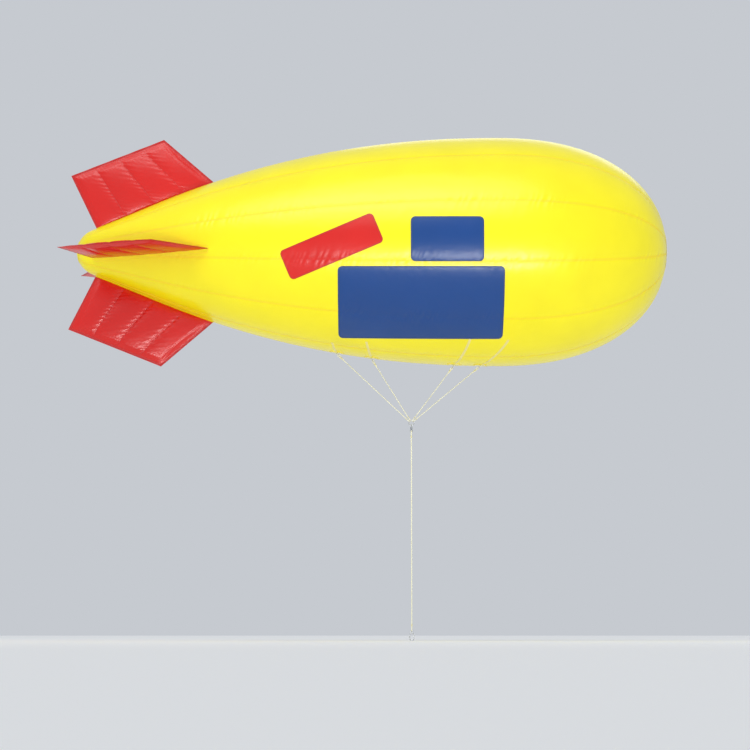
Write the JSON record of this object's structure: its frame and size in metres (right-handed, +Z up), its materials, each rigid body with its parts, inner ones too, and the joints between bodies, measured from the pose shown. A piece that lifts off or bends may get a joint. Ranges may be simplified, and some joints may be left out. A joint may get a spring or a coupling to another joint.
{
  "type": "tethered advertising blimp balloon",
  "caption": "Gas-filled blimp hull with tail fins and keel load patches, held by bridle lines, a ring, a swivel, a tether and a snap hook.",
  "frame": {"origin": "on the hull's long axis, straight above the bridle ring, where the lift of the gas is taken to act", "axes": "+X along the hull to the nose, +Y to port, +Z up"},
  "size_m": [6.0785, 2.35, 5.105],
  "materials": {
    "yellow_film": "glossy yellow inflatable film, heat welded",
    "red_film": "glossy red inflatable film, heat welded",
    "blue_film": "blue film panel, welded on and left blank",
    "cream_webbing": "woven cream webbing tape",
    "cream_rope": "three-strand cream polyester rope",
    "steel": "zinc-plated steel rod and forging, turned stainless steel swivel",
    "white_plastic": "moulded white plastic"
  },
  "bodies": {
    "blimp": {"envelope": "yellow_film", "nose_disc": "yellow_film", "tail_disc": "yellow_film", "bridle_ring": "steel", "valve_base": "white_plastic", "fin_top": "red_film", "fin_band_top": "yellow_film", "fin_bottom": "red_film", "fin_band_bottom": "yellow_film", "fin_port": "red_film", "fin_band_port": "yellow_film", "fin_starboard": "red_film", "fin_band_starboard": "yellow_film", "load_patch_rear_outer": "yellow_film", "load_ring_rear_outer": "steel", "bridle_line_rear_outer": "cream_rope", "load_tape_rear_outer_port": "cream_webbing", "load_tape_rear_outer_starboard": "cream_webbing", "load_patch_rear_inner": "yellow_film", "load_ring_rear_inner": "steel", "bridle_line_rear_inner": "cream_rope", "load_tape_rear_inner_port": "cream_webbing", "load_tape_rear_inner_starboard": "cream_webbing", "load_patch_front_inner": "yellow_film", "load_ring_front_inner": "steel", "bridle_line_front_inner": "cream_rope", "load_tape_front_inner_port": "cream_webbing", "load_tape_front_inner_starboard": "cream_webbing", "load_patch_front_outer": "yellow_film", "load_ring_front_outer": "steel", "bridle_line_front_outer": "cream_rope", "load_tape_front_outer_port": "cream_webbing", "load_tape_front_outer_starboard": "cream_webbing"},
    "swivel_top": {"swivel_barrel": "steel"},
    "swivel_bottom": {"swivel_eye": "steel"},
    "tether_line": {"tether": "cream_rope"},
    "snap_hook": {"hook_body": "steel"},
    "snap_gate": {"hook_gate": "steel"},
    "valve_cap": {"valve_lid": "white_plastic"}
  },
  "joints": [
    {"name": "swivel_swing", "type": "hinge", "parent": "blimp", "child": "swivel_top", "pos_m": [0, 0, -1.748], "axis": [0, 1, 0], "range_deg": [-45, 45]},
    {"name": "swivel_spin", "type": "hinge", "parent": "swivel_top", "child": "swivel_bottom", "pos_m": [0, 0, -1.8157], "axis": [0, 0, 1], "continuous": true},
    {"name": "tether_swing", "type": "hinge", "parent": "swivel_bottom", "child": "tether_line", "pos_m": [0, 0, -1.8422], "axis": [1, 0, 0], "range_deg": [-60, 60]},
    {"name": "hook_swing", "type": "hinge", "parent": "tether_line", "child": "snap_hook", "pos_m": [0, 0, -3.8305], "axis": [0, 1, 0], "range_deg": [-60, 60]},
    {"name": "valve_lid_hinge", "type": "hinge", "parent": "blimp", "child": "valve_cap", "pos_m": [-1.45753, 0.80007, -0.39264], "axis": [0.9676, 0.2187, -0.1263], "range_deg": [0, 110]},
    {"name": "gate_hinge", "type": "hinge", "parent": "snap_hook", "child": "snap_gate", "pos_m": [0.0205, 0, -3.9008], "axis": [0, -1, 0], "range_deg": [0, 25], "stiffness_Nm_per_rad": 0.05, "springref_deg": -17.19}
  ]
}
